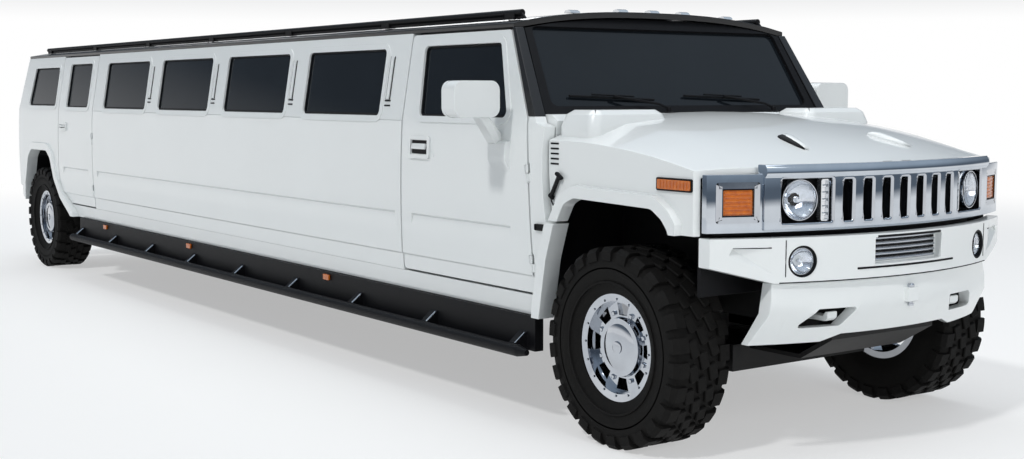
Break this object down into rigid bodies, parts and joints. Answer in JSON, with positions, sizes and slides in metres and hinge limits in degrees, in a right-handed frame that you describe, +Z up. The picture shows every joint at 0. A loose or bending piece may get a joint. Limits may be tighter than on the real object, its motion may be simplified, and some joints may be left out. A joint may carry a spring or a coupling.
{
  "type": "stretch limousine",
  "caption": "White stretch limousine on an off-road chassis with a slotted chrome grille, row of dark side windows, running boards and deep-lugged tyres.",
  "frame": {"origin": "on the ground under the middle of the car's length and width", "axes": "+X forward, +Y to the car's left, +Z up"},
  "size_m": [9.6, 2.65, 1.9603],
  "materials": {
    "paint_white": "gloss",
    "roof_black": "gloss",
    "black_trim": "matte",
    "glass_dark": "tinted",
    "chrome": "polished",
    "tyre": "matte",
    "lamp_clear": "clear",
    "lamp_amber": "gloss",
    "lamp_red": "gloss",
    "chassis": "satin",
    "floor_grey": "matte"
  },
  "bodies": {
    "body": {"frame_front": "chassis", "frame_rails": "chassis", "frame_rear": "chassis", "crossmembers": "chassis", "outriggers": "chassis", "floor": "floor_grey", "roof": "roof_black", "roof_rails": "black_trim", "roof_lamps": "lamp_clear", "amber_lamps": "lamp_amber", "cowl": "paint_white", "windshield_frame": "black_trim", "windshield": "glass_dark", "front_pillars": "paint_white", "a_pillars": "roof_black", "sills": "paint_white", "side_panels": "paint_white", "window_bands": "paint_white", "quarter_panels": "paint_white", "side_glass": "glass_dark", "rear_frame": "paint_white", "tail_lamps": "lamp_red", "rear_bumper": "paint_white", "front_bumper": "paint_white", "bumper_guard": "paint_white", "front_lamps": "lamp_clear", "core_support": "black_trim", "grille": "chrome", "wheelhouses": "black_trim", "engine": "chassis", "driveshaft": "chassis", "front_suspension": "chassis", "rear_axle": "chassis", "running_boards": "black_trim"},
    "hood": {"hood": "paint_white"},
    "tailgate": {"tailgate": "paint_white", "tailgate_glass": "glass_dark"},
    "door_front_right": {"door_front_right": "paint_white", "door_glass_front_right": "glass_dark"},
    "door_front_left": {"door_front_left": "paint_white", "door_glass_front_left": "glass_dark"},
    "door_rear_right": {"door_rear_right": "paint_white", "door_glass_rear_right": "glass_dark"},
    "door_rear_left": {"door_rear_left": "paint_white", "door_glass_rear_left": "glass_dark"},
    "knuckle_right": {"knuckle_right": "chassis"},
    "knuckle_left": {"knuckle_left": "chassis"},
    "wheel_front_right": {"rim_front_right": "chrome", "tyre_front_right": "tyre"},
    "wheel_front_left": {"rim_front_left": "chrome", "tyre_front_left": "tyre"},
    "wheel_rear_right": {"rim_rear_right": "chrome", "tyre_rear_right": "tyre"},
    "wheel_rear_left": {"rim_rear_left": "chrome", "tyre_rear_left": "tyre"}
  },
  "joints": [
    {"name": "steer_right", "type": "hinge", "parent": "body", "child": "knuckle_right", "pos_m": [4, -0.74, 0.44], "axis": [0, 0, 1], "range_deg": [-30, 30]},
    {"name": "steer_left", "type": "hinge", "parent": "body", "child": "knuckle_left", "pos_m": [4, 0.74, 0.44], "axis": [0, 0, 1], "range_deg": [-30, 30]},
    {"name": "spin_front_right", "type": "hinge", "parent": "knuckle_right", "child": "wheel_front_right", "pos_m": [4, -0.862, 0.44], "axis": [0, 1, 0], "continuous": true},
    {"name": "spin_front_left", "type": "hinge", "parent": "knuckle_left", "child": "wheel_front_left", "pos_m": [4, 0.862, 0.44], "axis": [0, 1, 0], "continuous": true},
    {"name": "spin_rear_right", "type": "hinge", "parent": "body", "child": "wheel_rear_right", "pos_m": [-3.9, -0.862, 0.44], "axis": [0, 1, 0], "continuous": true},
    {"name": "spin_rear_left", "type": "hinge", "parent": "body", "child": "wheel_rear_left", "pos_m": [-3.9, 0.862, 0.44], "axis": [0, 1, 0], "continuous": true},
    {"name": "open_front_right", "type": "hinge", "parent": "body", "child": "door_front_right", "pos_m": [3.43, -1, 0.61], "axis": [-0.08, 0, 0.9968], "range_deg": [0, 65]},
    {"name": "open_front_left", "type": "hinge", "parent": "body", "child": "door_front_left", "pos_m": [3.43, 1, 0.61], "axis": [0.08, 0, -0.9968], "range_deg": [0, 65]},
    {"name": "open_rear_right", "type": "hinge", "parent": "body", "child": "door_rear_right", "pos_m": [-2.61, -1, 0.61], "axis": [0, 0, 1], "range_deg": [0, 65]},
    {"name": "open_rear_left", "type": "hinge", "parent": "body", "child": "door_rear_left", "pos_m": [-2.61, 1, 0.61], "axis": [0, 0, -1], "range_deg": [0, 65]},
    {"name": "open_hood", "type": "hinge", "parent": "body", "child": "hood", "pos_m": [4.692, 0, 1.246], "axis": [0, 1, 0], "range_deg": [0, 60]},
    {"name": "open_tailgate", "type": "hinge", "parent": "body", "child": "tailgate", "pos_m": [-4.50629, 0, 1.793], "axis": [0, 1, 0], "range_deg": [0, 80]}
  ],
  "couplings": [
    {"joint": "steer_left", "follows": "steer_right", "ratio": 1}
  ]
}
